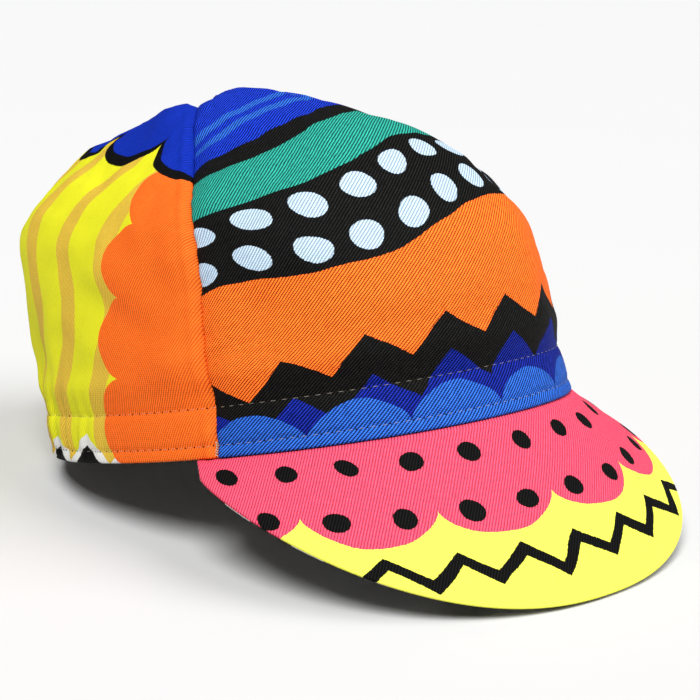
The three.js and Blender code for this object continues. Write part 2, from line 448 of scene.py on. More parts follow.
def plain_crown(angle, along):
    """The crown before seams, folds and gathers are pressed in."""
    angle, along = np.broadcast_arrays(np.asarray(angle, float), np.asarray(along, float))
    front = np.cos(angle)
    front_share = np.where(front > 0, front**2, 0)
    back_share = np.where(front < 0, front**2, 0)
    side_share = 1 - front**2
    columns = section_values(along)
    out = (
        columns[..., 0] * front_share
        + columns[..., 2] * side_share
        + columns[..., 4] * back_share
    )
    up = (
        columns[..., 1] * front_share
        + columns[..., 3] * side_share
        + columns[..., 5] * back_share
    )
    edge = opening_point(angle)
    y = APEX_BEHIND_CENTRE + (edge[..., 1] - APEX_BEHIND_CENTRE) * out
    return np.stack([edge[..., 0] * out, y, CROWN_HEIGHT * up], -1)


def crown_normal(angle, along):
    """Direction straight out of the crown's cloth."""
    low = np.maximum(along - SLOPE_STEP, 0)
    high = np.minimum(along + SLOPE_STEP, 1 - SLOPE_STEP)
    across = plain_crown(angle + SLOPE_STEP, along) - plain_crown(angle - SLOPE_STEP, along)
    upward = plain_crown(angle, high) - plain_crown(angle, low)
    normal = -np.cross(across, upward)
    return normal / np.linalg.norm(normal, axis=-1, keepdims=True)


def soft_noise(x, y, size, seed):
    """Smooth random heights from -1 to 1, over cells of one size."""
    cells = NOISE_CELLS
    lattice = np.random.RandomState(seed).uniform(-1, 1, (cells, cells))
    x, y = x / size + NOISE_START, y / size + NOISE_START
    column, row = np.floor(x).astype(int), np.floor(y).astype(int)
    right, top = smooth_step(0, 1, x - column), smooth_step(0, 1, y - row)
    row, above = row % cells, (row + 1) % cells
    column, beside = column % cells, (column + 1) % cells
    lower = lattice[row, column] * (1 - right) + lattice[row, beside] * right
    upper = lattice[above, column] * (1 - right) + lattice[above, beside] * right
    return lower * (1 - top) + upper * top


def seam_shift(wrapped, reach, height):
    """How far the seams pull the cloth in or push it out."""
    shift = 0
    spread = smooth_step(0, SEAM_DIP_START, reach)
    for number, seam in enumerate(SEAM_ANGLES):
        aside = (wrapped - seam) * reach
        toward_back = aside if number < 2 else -aside
        distance = np.abs(aside)
        dip = SEAM_DIP * bump_at(distance, SEAM_DIP_WIDTH) * smooth_step(0, BAND_HEIGHT, height)
        crease = SEAM_CREASE * np.exp(-distance / SEAM_CREASE_WIDTH)
        ridge = SEAM_RIDGE * bump_at(toward_back - SEAM_RIDGE_PLACE, SEAM_RIDGE_WIDTH)
        wave = np.sin(TURN * (height - reach) / SEAM_PUCKER_PITCH + number)
        narrowed = aside / SEAM_NOISE_STRETCH
        wave = wave + soft_noise(height - reach, narrowed, SEAM_PUCKER_PITCH, SEAM_SEED + number)
        pucker = SEAM_PUCKER * wave * np.exp(-distance / SEAM_PUCKER_REACH)
        shift = shift + (ridge + pucker - dip) * spread - crease
    return shift


def gather_shift(wrapped, height):
    """Waves that the elastic draws into the back of the band and the cloth above it."""
    behind = np.abs(wrapped - math.pi)
    inside = 1 - smooth_step(GATHER_REACH / 2, GATHER_REACH, behind / DEGREE)
    fine_inside = 1 - smooth_step(FINE_GATHER_REACH / 2, FINE_GATHER_REACH, behind / DEGREE)
    turned = (wrapped - math.pi) * (OPENING_WIDTH / 2) * TURN
    around = wrapped * GATHER_RADIUS
    rise = smooth_step(0, BAND_HEIGHT / 2, height)
    broad = np.cos(turned / GATHER_PITCH) * rise * (1 - smooth_step(BAND_HEIGHT, GATHER_TOP, height))
    wander = FINE_GATHER_WANDER * soft_noise(around, height, FINE_GATHER_WANDER_SIZE, FINE_GATHER_SEED)
    fine = np.cos(turned / FINE_GATHER_PITCH + wander) * smooth_step(0, FINE_GATHER_START, height)
    fine = fine * (1 - smooth_step(BAND_HEIGHT, FINE_GATHER_TOP, height))
    strength = soft_noise(around, height, FINE_GATHER_PATCH, FINE_GATHER_PATCH_SEED)
    strength = FINE_GATHER_MEAN + FINE_GATHER_SPREAD * strength
    wander = PUCKER_WANDER * soft_noise(around, height, PUCKER_WANDER_SIZE, PUCKER_SEED)
    pucker = np.cos(turned / PUCKER_PITCH + wander) * smooth_step(0, LOWER_STITCH_HEIGHT, height)
    pucker = PUCKER_HEIGHT * pucker * (1 - smooth_step(PUCKER_FULL_TOP, PUCKER_TOP, height))
    fine = FINE_GATHER_HEIGHT * fine * strength + pucker
    return inside * GATHER_HEIGHT * broad + fine_inside * fine


def band_shift(angle, height):
    """How the band leans in toward its upper row of stitches, where the cloth above swells over it."""
    shift = -LOWER_GROOVE * bump_at(height - LOWER_STITCH_HEIGHT, LOWER_GROOVE_WIDTH)
    shift = shift - UPPER_GROOVE * bump_at(height - UPPER_STITCH_HEIGHT, UPPER_GROOVE_WIDTH)
    behind = (1 - np.cos(angle)) / 2
    lean = BAND_LEAN_AT_FRONT + (BAND_LEAN - BAND_LEAN_AT_FRONT) * behind
    rise = np.clip(height / UPPER_STITCH_HEIGHT, 0, 1)
    shift = shift - lean * rise * (1 - smooth_step(UPPER_STITCH_HEIGHT, BAND_LEAN_TOP, height))
    middle = (LOWER_STITCH_HEIGHT + UPPER_STITCH_HEIGHT) / 2
    shoulder = BAND_SHOULDER * bump_at(height - BAND_SHOULDER_PLACE, BAND_SHOULDER_WIDTH)
    return shift + BAND_PUFF * bump_at(height - middle, BAND_PUFF_WIDTH) + shoulder


def dent_shift(along_cloth, height):
    """How far the listed folds push the cloth in or out."""
    shift = 0
    for place, level, half_length, half_width, turn, push in DENTS:
        aside = along_cloth - place * DEGREE * CLOTH_RADIUS
        above = height - level
        side, slope = math.cos(turn * DEGREE), math.sin(turn * DEGREE)
        lengthwise = (aside * side + above * slope) / half_length
        crosswise = (above * side - aside * slope) / half_width
        shift = shift + push * bump_at(np.hypot(lengthwise, crosswise), 1)
    return shift


def crown_detail(angle, point):
    """Everything that moves the crown's outer face along its normal."""
    reach = np.hypot(point[..., 0], point[..., 1] - APEX_BEHIND_CENTRE)
    height = point[..., 2]
    wrapped = np.mod(angle, TURN)
    signed = np.where(wrapped > math.pi, wrapped - TURN, wrapped)
    clear_of_apex = smooth_step(0, APEX_CALM, reach)
    fold = CENTRE_FOLD * np.exp(-np.abs(signed * reach) / CENTRE_FOLD_WIDTH) * clear_of_apex
    fold = fold * smooth_step(CENTRE_FOLD_START, CENTRE_FOLD_FULL, height)
    along_cloth, up_cloth = signed * CLOTH_RADIUS, height - reach
    side, slope = math.cos(RIPPLE_TURN), math.sin(RIPPLE_TURN)
    across = along_cloth * side - up_cloth * slope
    upward = along_cloth * slope + up_cloth * side
    ripple = 0
    for number, (size, amount) in enumerate(RIPPLES):
        ripple = ripple + amount * soft_noise(across, upward, size, RIPPLE_SEED + number)
    ripple = ripple * smooth_step(BAND_HEIGHT, 2 * BAND_HEIGHT, height)
    backward = np.abs(np.sin(wrapped / 2))
    ripple = ripple * (RIPPLE_AT_FRONT + (1 - RIPPLE_AT_FRONT) * backward)
    squeezed = height / UPRIGHT_RIPPLE_STRETCH
    upright = soft_noise(along_cloth, squeezed, UPRIGHT_RIPPLE_SIZE, UPRIGHT_RIPPLE_SEED)
    fade = smooth_step(UPRIGHT_RIPPLE_START, BAND_SHOULDER_PLACE, height)
    fade = fade * (1 - smooth_step(BAND_SHOULDER_PLACE, UPRIGHT_RIPPLE_TOP, height))
    fade = fade * (UPRIGHT_RIPPLE_AT_FRONT + (1 - UPRIGHT_RIPPLE_AT_FRONT) * backward)
    ripple = ripple + upright * UPRIGHT_RIPPLE_HEIGHT * fade
    ripple = (ripple + dent_shift(along_cloth, height)) * clear_of_apex
    ripple = ripple * smooth_step(0, BACK_SEAM_CALM * DEGREE, math.pi - np.abs(signed))
    rise = APEX_RISE * bump_at(reach, APEX_RISE_WIDTH)
    pressed = seam_shift(wrapped, reach, height) + gather_shift(wrapped, height)
    tape_top = TAPE_LIFT + TAPE_HEIGHT
    above_tape = smooth_step(tape_top, tape_top + TAPE_CLEARING, height)
    deepest = DEEPEST_PRESS + (DEEPEST_PRESS_ABOVE - DEEPEST_PRESS) * above_tape
    shift = np.maximum(pressed + fold + ripple + rise, -deepest)
    return shift + band_shift(angle, height)


def crown_surface(angle, along, depth):
    """Points of the crown's cloth, a depth inside its outer face."""
    point = plain_crown(angle, along)
    outer = crown_detail(angle, point)
    deepest = band_shift(angle, point[..., 2]) - DEEPEST_INNER
    inner = np.minimum(np.maximum(outer - depth, deepest), outer - THINNEST_CLOTH)
    shift = np.where(depth > CLOTH_WALL / 2, inner, outer - depth)
    return point + crown_normal(angle, along) * shift[..., None]


def along_at_height(angle, height):
    """How far along the sections the crown reaches a height above the band's edge."""
    low = np.zeros(np.broadcast(angle, height).shape)
    high = np.full_like(low, CROWN_SECTIONS[3][0])
    for _ in range(HALVINGS):
        middle = (low + high) / 2
        below = plain_crown(angle, middle)[..., 2] < height
        low = np.where(below, middle, low)
        high = np.where(below, high, middle)
    return low


def along_at_apex():
    """How far along the gores stop, where almost no hole is left between them."""
    low, high = CROWN_SECTIONS[-2][0], 1.0
    for _ in range(HALVINGS):
        middle = (low + high) / 2
        if abs(plain_crown(math.pi / 2, middle)[0]) > APEX_HOLE / 2:
            low = middle
        else:
            high = middle
    return low


def rest_points(points):
    """Tips the upright cap back, sets it down on the floor, and turns millimetres into metres."""
    tilt = REST_TILT * DEGREE
    x, y, z = points[..., 0], points[..., 1], points[..., 2]
    back = y * math.cos(tilt) + z * math.sin(tilt) + REST_SHIFT
    up = z * math.cos(tilt) - y * math.sin(tilt) + REST_LIFT
    return np.stack([x, back, np.maximum(up, 0)], -1) * MILLIMETRE


# Meshes

def add_object(name, shape, materials):
    """A smooth object from a shape that was made in the upright cap's millimetres."""
    places = rest_points(np.array([vertex.co for vertex in shape.verts]))
    for vertex, place in zip(shape.verts, places):
        vertex.co = place
    for face in shape.faces:
        face.smooth = True
    mesh = bpy.data.meshes.new(name)
    shape.to_mesh(mesh)
    shape.free()
    for material in materials:
        mesh.materials.append(material)
    obj = bpy.data.objects.new(name, mesh)
    bpy.context.collection.objects.link(obj)
    return obj


def close_shape(shape):
    """Merges the edges of a shape that lie on each other and turns its faces outward."""
    bmesh.ops.remove_doubles(shape, verts=shape.verts, dist=SAME_PLACE)
    bmesh.ops.recalc_face_normals(shape, faces=shape.faces)


def placed_grid(shape, places):
    """Adds a grid to a shape, with its points at rows and columns of places."""
    rows, columns = places.shape[:2]
    grid = bmesh.ops.create_grid(shape, x_segments=columns - 1, y_segments=rows - 1, size=1)
    for vertex, place in zip(grid["verts"], places.reshape(-1, 3).tolist()):
        vertex.co = place


def folded_sheet(name, places, maps, materials, reverse_rows=(), ring=False):
    """A closed sheet of cloth through a grid of places, with a map of the flat cloth for each name.

    Its rows run up the outer face and back down the inner one, and some of them show its reverse. At its
    edges the two faces meet along the middle of its thickness. A ring's first and last columns are one."""
    middle = (places + places[::-1]) / 2
    places = np.concatenate([middle[:1], places, middle[-1:]])
    middle = (places + places[::-1]) / 2
    spare = 0 if ring else 1
    places = np.concatenate([middle[:, :spare], places, middle[:, places.shape[1] - spare :]], axis=1)
    sheet = bmesh.new()
    placed_grid(sheet, places)
    sheet.verts.index_update()
    columns = places.shape[1]
    for number, face in enumerate(sheet.faces):
        face.material_index = int(number // (columns - 1) - 1 in reverse_rows)
    for map_name, values in maps.items():
        layer = sheet.loops.layers.uv.new(map_name)
        spots = np.pad(values, ((1, 1), (spare, spare), (0, 0)), mode="edge") / MAP_SIZE
        spots = spots.reshape(-1, 2).tolist()
        for face in sheet.faces:
            for corner in face.loops:
                corner[layer].uv = spots[corner.vert.index]
    close_shape(sheet)
    return add_object(name, sheet, materials)


def path_lengths(points, axis):
    """Distances along the rows or columns of a grid of points, from its first line."""
    steps = np.linalg.norm(np.diff(points, axis=axis), axis=-1)
    start = np.zeros_like(np.take(steps, [0], axis=axis))
    return np.concatenate([start, np.cumsum(steps, axis=axis)], axis=axis)


def hem_profile():
    """Heights and depths of the rows that round the hem, from its lowest line up the outer face."""
    corner = np.linspace(0, math.pi / 2, ROUND_ROWS)
    radius = CLOTH_WALL / 2
    heights = radius * (1 - np.cos(corner))
    depths = radius * (1 - np.sin(corner))
    return heights, depths


def flat_gore(angle, along):
    """The gore's cloth laid flat: distances across from its middle line, and up along that line.

    Its lines across are cut by planes that turn about one level hinge, from the hem to the apex."""
    plain = plain_crown(angle, along)
    middle = angle.shape[1] // 2
    heading = angle[0, middle]
    outward = (plain[..., 1] - APEX_BEHIND_CENTRE) * -math.cos(heading) - plain[..., 0] * math.sin(heading)
    tilt = np.arctan2(plain[..., 2], outward + PRINT_HINGE)
    tilt = np.maximum.accumulate(tilt + np.arange(len(tilt))[:, None] * LEAST_TILT_STEP, axis=0)
    levels = np.linspace(0, tilt[:, middle].max(), len(tilt))
    level_points = np.empty((len(levels), angle.shape[1], 3))
    for column in range(angle.shape[1]):
        for axis in range(3):
            level_points[:, column, axis] = np.interp(levels, tilt[:, column], plain[:, column, axis])
    level_across = path_lengths(level_points, 1)
    level_across = level_across[:, middle, None] - level_across
    level_up = path_lengths(level_points[:, [middle]], 0)[:, 0]
    flat = np.empty((*angle.shape, 2))
    for column in range(angle.shape[1]):
        flat[:, column, 0] = np.interp(tilt[:, column], levels, level_across[:, column])
        flat[:, column, 1] = np.interp(tilt[:, column], levels, level_up)
    return flat


def gore(name, start, end, outside, inside):
    """One gore of the crown, from one seam to the next and from the hem to the apex."""
    even = np.linspace(0, 1, GORE_COLUMNS + 1)
    crowded = (1 - np.cos(even * math.pi)) / 2
    share = (1 - EDGE_CROWDING) * even + EDGE_CROWDING * crowded
    angle = (start + (end - start) * share)[None, :]
    heights, depths = hem_profile()
    band = np.linspace(heights[-1], BAND_ROWS_TOP, BAND_ROWS + 1)[1:]
    heights = np.concatenate([heights, band])
    depths = np.concatenate([depths, np.zeros(BAND_ROWS)])
    low = along_at_height(angle, heights[:, None])
    rise = np.linspace(0, 1, CROWN_ROWS + 1)[1:, None]
    high = low[-1:] + (along_at_apex() - low[-1:]) * rise
    along = np.concatenate([low, high])
    depth = np.concatenate([depths, np.zeros(CROWN_ROWS)])[:, None]
    angle = np.broadcast_to(angle, along.shape).copy()
    for column, side in ((0, 1), (-1, -1)):
        near = plain_crown(angle[:, column] + SLOPE_STEP, along[:, column])
        radius = np.linalg.norm(near - plain_crown(angle[:, column], along[:, column]), axis=-1) / SLOPE_STEP
        angle[:, column] += side * SEAM_SLIT / 2 / radius
    outer = crown_surface(angle, along, np.broadcast_to(depth, along.shape))
    inner = crown_surface(angle, along, np.broadcast_to(CLOTH_WALL - depth, along.shape))
    cloth = flat_gore(angle, along)
    places = np.concatenate([outer, inner[::-1]])
    maps = {"cloth": np.concatenate([cloth, cloth[::-1]])}
    reverse_rows = range(len(outer) - 1, len(places) - ROUND_ROWS)
    return folded_sheet(name, places, maps, [outside, inside], reverse_rows)


def inner_tape(material):
    """The tape inside the band, a folded ring with soft edges."""
    angle = np.linspace(0, TURN, TAPE_COLUMNS + 1)[None, :]
    share = np.linspace(0, 1, TAPE_ROWS + 1)
    heights = TAPE_LIFT + TAPE_HEIGHT * share
    ease = TAPE_EDGE_THINNING * (bump_at(share, TAPE_EDGE_SHARE) + bump_at(1 - share, TAPE_EDGE_SHARE))
    along = along_at_height(angle, heights[:, None])
    angle = np.broadcast_to(angle, along.shape)
    point = plain_crown(angle, along)
    normal = crown_normal(angle, along)
    wrapped = np.mod(angle, TURN)
    shift = gather_shift(wrapped, point[..., 2]) * TAPE_GATHER_SHARE + band_shift(angle, point[..., 2])
    shift = shift - CLOTH_WALL - TAPE_GAP
    outer = point + normal * (shift - ease[:, None])[..., None]
    inner = point + normal * (shift - TAPE_WALL + ease[:, None])[..., None]
    cloth = np.stack([path_lengths(point, 1), np.broadcast_to(heights[:, None], along.shape)], -1)
    places = np.concatenate([outer, inner[::-1]])
    maps = {"cloth": np.concatenate([cloth, cloth[::-1]])}
    return folded_sheet("band_tape", places, maps, [material], ring=True)


def peak_length(angle):
    """Length of the peak from the band to its free edge."""
    across = np.abs(angle) / (PEAK_HALF_ANGLE * DEGREE)
    shape = np.maximum(1 - across**PEAK_EDGE_POWER, 0) ** PEAK_EDGE_ROUNDNESS
    return PEAK_CORNER_LENGTH + (PEAK_LENGTH - PEAK_CORNER_LENGTH) * shape


def peak_surface(angle, share, depth):
    """Points of the peak, a depth below its upper face, from the band out to its free edge."""
    across = np.abs(angle) / (PEAK_HALF_ANGLE * DEGREE)
    length = peak_length(angle)
    droop = (PEAK_DROOP_FRONT + (PEAK_DROOP_CORNER - PEAK_DROOP_FRONT) * across**2) * DEGREE
    sunk = depth - (PEAK_CLOTH + PIECE_GAP / 2) * smooth_step(0, PEAK_THICKENING, share)
    ahead = np.stack([-np.sin(angle * PEAK_FAN), -np.cos(angle * PEAK_FAN), np.zeros_like(angle)], -1)
    down = np.array([0.0, 0.0, -1.0])
    out = length * share * np.cos(droop) - sunk * np.sin(droop)
    fall = length * share * np.sin(droop) + sunk * np.cos(droop) + PIECE_GAP
    return opening_point(angle) + ahead * out[..., None] + down * fall[..., None]


def flat_peak(angles):
    """The peak's cloth unrolled: flat places of its inner and outer ends at each angle."""
    inner = peak_surface(angles, np.zeros_like(angles), np.zeros_like(angles))
    outer = peak_surface(angles, np.ones_like(angles), np.zeros_like(angles))
    low = [np.array([0.0, 0.0])]
    high = [np.array([0.0, np.linalg.norm(outer[0] - inner[0])])]
    for step in range(1, len(angles)):
        low.append(flat_corner(low[-1], high[-1], inner[step - 1], outer[step - 1], inner[step]))
        high.append(flat_corner(low[-1], high[-1], inner[step], outer[step - 1], outer[step]))
    low, high = np.array(low), np.array(high)
    middle = len(angles) // 2
    heading = high[middle] - low[middle]
    turn = math.atan2(heading[0], heading[1])
    spin = np.array([[math.cos(turn), math.sin(turn)], [-math.sin(turn), math.cos(turn)]])
    return (low - low[middle]) @ spin, (high - low[middle]) @ spin


def flat_corner(first, second, first_place, second_place, place):
    """Flat place of a third corner, to the right of the line from the first to the second."""
    base = np.linalg.norm(second_place - first_place)
    side = np.linalg.norm(place - first_place)
    other = np.linalg.norm(place - second_place)
    forward = (side**2 - other**2 + base**2) / (2 * base)
    aside = math.sqrt(max(side**2 - forward**2, 0))
    direction = (second - first) / np.linalg.norm(second - first)
    return first + direction * forward + np.array([direction[1], -direction[0]]) * aside


def peak_cover(name, top_depth, inset, material):
    """One cloth cover of the peak, folded under at its free edge and tucked under the band.

    Inset is how far inside the peak's outline it ends."""
    even = np.linspace(1, -1, PEAK_COLUMNS + 1)
    crowded = np.sin(even * math.pi / 2)
    angle = (PEAK_HALF_ANGLE * DEGREE * (even + crowded) / 2)[None, :]
    length = peak_length(angle)
    share = np.linspace(0, 1, PEAK_ROWS + 1)[:, None]
    radius = PEAK_CLOTH / 2
    corner = np.linspace(0, math.pi / 2, ROUND_ROWS)[1:, None]
    body = share * (1 - radius / length)
    edge = 1 - radius / length * (1 - np.sin(corner))
    shares = np.concatenate([body, edge]) * (1 - inset / length)
    dips = np.concatenate([np.zeros(len(share)), radius * (1 - np.cos(corner[:, 0]))])[:, None]
    angle = np.broadcast_to(angle, shares.shape)
    upper = peak_surface(angle, shares, np.broadcast_to(top_depth + dips, shares.shape))
    lower = peak_surface(angle, shares, np.broadcast_to(top_depth + PEAK_CLOTH - dips, shares.shape))
    for face in (upper, lower):
        inward = opening_point(angle[0]) / np.linalg.norm(opening_point(angle[0]), axis=-1, keepdims=True)
        tucked = face[0] - inward * PEAK_TUCK
        tucked[:, 2] = face[0][:, 2] + PIECE_GAP - PEAK_TUCK_GAP
        face[0] = tucked
    inner_flat, outer_flat = flat_peak(angle[0])
    flat = inner_flat[None] + (outer_flat - inner_flat)[None] * shares[..., None]
    around = path_lengths(opening_point(angle), 1)
    around = around - around[:, PEAK_COLUMNS // 2, None]
    layout = np.stack([around, shares * length], -1)
    places = np.concatenate([upper, lower[::-1]])
    maps = {
        "cloth": np.concatenate([flat, flat[::-1]]),
        "layout": np.concatenate([layout, layout[::-1]]),
    }
    return folded_sheet(name, places, maps, [material])


def threads(name, paths, radius, material):
    """Round threads along short paths of points, each closed by its own narrow ends."""
    shape = bmesh.new()
    turn = np.linspace(0, TURN, THREAD_SIDES + 1)[None, :, None]
    for path in paths:
        ahead = np.gradient(path, axis=0)
        ahead = ahead / np.linalg.norm(ahead, axis=-1, keepdims=True)
        side = np.cross(ahead, THREAD_GUIDE)
        side = side / np.linalg.norm(side, axis=-1, keepdims=True)
        above = np.cross(side, ahead)
        taper = np.full(len(path), radius)
        taper[0] = taper[-1] = radius * THREAD_END_SHARE
        rings = side[:, None] * np.cos(turn) + above[:, None] * np.sin(turn)
        placed_grid(shape, path[:, None] + rings * taper[:, None, None])
    bmesh.ops.remove_doubles(shape, verts=shape.verts, dist=SAME_PLACE)
    bmesh.ops.holes_fill(shape, edges=shape.edges, sides=THREAD_SIDES)
    close_shape(shape)
    return add_object(name, shape, [material])


def stitch_angles(height):
    """Angles of the needle holes around the band, closer together where the elastic gathers it."""
    around = np.linspace(0, TURN, STITCH_LINE_STEPS + 1)
    line = plain_crown(around, along_at_height(around, np.full_like(around, height)))
    behind = np.abs(around - math.pi) / DEGREE
    gathered = 1 - smooth_step(GATHER_REACH / 2, GATHER_REACH, behind)
    pitch = STITCH_PITCH + (GATHERED_STITCH_PITCH - STITCH_PITCH) * gathered
    steps = np.linalg.norm(np.diff(line, axis=0), axis=-1) / pitch[1:]
    count = np.concatenate([[0], np.cumsum(steps)])
    whole = int(count[-1])
    return np.interp(np.arange(whole + 1) * count[-1] / whole, count, around)


def band_point(angle, height, lift):
    """A point a little above the band's outer face."""
    angle = np.asarray(angle, float)
    along = along_at_height(angle, np.zeros_like(angle) + height)
    point = plain_crown(angle, along)
    shift = crown_detail(angle, point) + lift
    return point + crown_normal(angle, along) * np.asarray(shift)[..., None]


def band_stitches(name, height, material):
    """One row of stitches around the band."""
    angles = stitch_angles(height)
    share = np.linspace(0, 1, THREAD_CELLS + 1)
    lift = THREAD_RADIUS * (STITCH_ARCH * np.sin(share * math.pi) - 1)
    paths = []
    for start, end in zip(angles[:-1], angles[1:]):
        stretch = start + (end - start) * ((1 - STITCH_SHARE) / 2 + STITCH_SHARE * share)
        paths.append(band_point(stretch, height, lift))
    return threads(name, paths, THREAD_RADIUS, material)


def seam_tacks(material):
    """Short stitches across the foot of each front seam."""
    share = np.linspace(-0.5, 0.5, THREAD_CELLS + 1)
    lift = THREAD_RADIUS + SEAM_CREASE * bump_at(share, TACK_ARCH_SHARE)
    paths = []
    for seam in (SEAM_ANGLES[0], SEAM_ANGLES[2]):
        for height in np.arange(TACK_FOOT, TACK_TOP, TACK_STEP):
            turn = TACK_LENGTH / (OPENING_WIDTH / 2)
            stretch = seam + share * turn
            paths.append(band_point(stretch, height + share * TACK_STEP, lift))
    return threads("seam_tacks", paths, TACK_THREAD_RADIUS, material)


def needle_hole_shadows(name, height, material):
    """Small dark discs on the cloth where the thread goes through it, painted as the shadow in each hole."""
    angles = stitch_angles(height)[:-1]
    centre = band_point(angles, height, NEEDLE_HOLE_LIFT)
    ahead = band_point(angles + SLOPE_STEP, height, NEEDLE_HOLE_LIFT) - centre
    ahead = ahead / np.linalg.norm(ahead, axis=-1, keepdims=True)
    above = band_point(angles, height + NEEDLE_HOLE_RADIUS, NEEDLE_HOLE_LIFT)
    up = above - band_point(angles, height - NEEDLE_HOLE_RADIUS, NEEDLE_HOLE_LIFT)
    up = up / np.linalg.norm(up, axis=-1, keepdims=True)
    out = np.cross(up, ahead)
    shape = bmesh.new()
    for spot, *axes in zip(centre.tolist(), up.tolist(), ahead.tolist(), out.tolist()):
        place = Matrix(axes).transposed().to_4x4()
        place.translation = spot
        bmesh.ops.create_circle(
            shape, cap_ends=True, segments=NEEDLE_HOLE_SIDES, radius=NEEDLE_HOLE_RADIUS, matrix=place
        )
    return add_object(name, shape, [material])


# Materials

def linear(color):
    """A colour from 0 to 255 as the renderer's own red, green, blue and alpha."""
    parts = np.array(color) / 255
    parts = np.where(parts <= 0.04045, parts / 12.92, ((parts + 0.055) / 1.055) ** 2.4)
    return (*[float(part) for part in parts], 1.0)


def set_input(tree, socket, value):
    """Links a socket to another, or gives it a plain value."""
    if isinstance(value, bpy.types.NodeSocket):
        tree.links.new(value, socket)
    else:
        socket.default_value = value


def math_node(tree, operation, *values):
    """A math node on sockets or numbers."""
    node = tree.nodes.new("ShaderNodeMath")
    node.operation = operation
    for socket, value in zip(node.inputs, values):
        set_input(tree, socket, value)
    return node.outputs[0]


def mix_colors(tree, mask, under, over):
    """One colour laid over another where a mask is one."""
    node = tree.nodes.new("ShaderNodeMix")
    node.data_type = "RGBA"
    set_input(tree, node.inputs["Factor"], mask)
    set_input(tree, node.inputs["A"], under)
    set_input(tree, node.inputs["B"], over)
    return node.outputs["Result"]


def vector_node(tree, operation, vector, other):
    """A vector math node on a socket and another socket or value."""
    node = tree.nodes.new("ShaderNodeVectorMath")
    node.operation = operation
    set_input(tree, node.inputs[0], vector)
    set_input(tree, node.inputs["Scale" if operation == "SCALE" else 1], other)
    return node.outputs[0]


def noise_node(tree, place, scale, detail):
    """A noise at a place, with so many details to a unit of length."""
    node = tree.nodes.new("ShaderNodeTexNoise")
    node.inputs["Scale"].default_value = scale
    node.inputs["Detail"].default_value = detail
    tree.links.new(place, node.inputs["Vector"])
    return node


def new_group(name, inputs, output, output_kind):
    """An empty node group with named inputs and one output."""
    tree = bpy.data.node_groups.new(name, "ShaderNodeTree")
    for socket, kind in inputs:
        tree.interface.new_socket(socket, in_out="INPUT", socket_type=kind)
    tree.interface.new_socket(output, in_out="OUTPUT", socket_type=output_kind)
    return tree, tree.nodes.new("NodeGroupInput"), tree.nodes.new("NodeGroupOutput")


def use_group(tree, group, **values):
    """A group's node inside another tree, with its inputs set by name. Returns its first output."""
    node = tree.nodes.new("ShaderNodeGroup")
    node.node_tree = group
    for name, value in values.items():
        set_input(tree, node.inputs[name.capitalize()], value)
    return node.outputs[0]


def edge_mask(tree, inside):
    """One where a distance inside an edge is positive, with the print's own soft edge."""
    scaled = math_node(tree, "MULTIPLY_ADD", inside, 1 / PRINT_EDGE, 0.5)
    node = tree.nodes.new("ShaderNodeClamp")
    tree.links.new(scaled, node.inputs["Value"])
    return node.outputs[0]


def split_place(tree, place):
    """The distance along and the distance across of a place."""
    parts = tree.nodes.new("ShaderNodeSeparateXYZ")
    tree.links.new(place, parts.inputs[0])
    return parts.outputs["X"], parts.outputs["Y"]


def turned_place(tree, place, angle):
    """A place after turning the cloth by an angle."""
    node = tree.nodes.new("ShaderNodeVectorRotate")
    node.rotation_type = "Z_AXIS"
    tree.links.new(place, node.inputs["Vector"])
    set_input(tree, node.inputs["Angle"], angle)
    return node.outputs[0]


def edge_wave(tree, kind, forward, height, length):
    """How far an edge swings at each place along it: a sine, a zigzag or scallops."""
    if kind == "sine":
        turn = math_node(tree, "DIVIDE", math_node(tree, "MULTIPLY", forward, TURN), length)
        return math_node(tree, "MULTIPLY", math_node(tree, "SINE", turn), height)
    if kind == "zigzag":
        half = math_node(tree, "MULTIPLY", length, 0.5)
        swing = math_node(tree, "PINGPONG", forward, half)
        share = math_node(tree, "DIVIDE", swing, half)
        return math_node(tree, "MULTIPLY", share, height)
    turn = math_node(tree, "DIVIDE", math_node(tree, "MULTIPLY", forward, math.pi), length)
    swing = math_node(tree, "ABSOLUTE", math_node(tree, "SINE", turn))
    round_swing = math_node(tree, "POWER", swing, SCALLOP_ROUNDNESS)
    return math_node(tree, "MULTIPLY", round_swing, height)


def waved_group(kind):
    """A place turned by an angle and then shifted so that straight lines across it come out waved."""
    inputs = (
        ("Place", "NodeSocketVector"),
        ("Angle", "NodeSocketFloat"),
        ("Height", "NodeSocketFloat"),
        ("Length", "NodeSocketFloat"),
    )
    tree, given, result = new_group(kind + " place", inputs, "Place", "NodeSocketVector")
    forward, across = split_place(tree, turned_place(tree, given.outputs["Place"], given.outputs["Angle"]))
    wave = edge_wave(tree, kind, forward, given.outputs["Height"], given.outputs["Length"])
    joined = tree.nodes.new("ShaderNodeCombineXYZ")
    tree.links.new(forward, joined.inputs["X"])
    tree.links.new(math_node(tree, "SUBTRACT", across, wave), joined.inputs["Y"])
    tree.links.new(joined.outputs[0], result.inputs[0])
    return tree


def between_group():
    """One long band of print between two levels."""
    inputs = (("Place", "NodeSocketVector"), ("Low", "NodeSocketFloat"), ("High", "NodeSocketFloat"))
    tree, given, result = new_group("between", inputs, "Mask", "NodeSocketFloat")
    across = split_place(tree, given.outputs["Place"])[1]
    above = edge_mask(tree, math_node(tree, "SUBTRACT", across, given.outputs["Low"]))
    below = edge_mask(tree, math_node(tree, "SUBTRACT", given.outputs["High"], across))
    tree.links.new(math_node(tree, "MULTIPLY", above, below), result.inputs[0])
    return tree


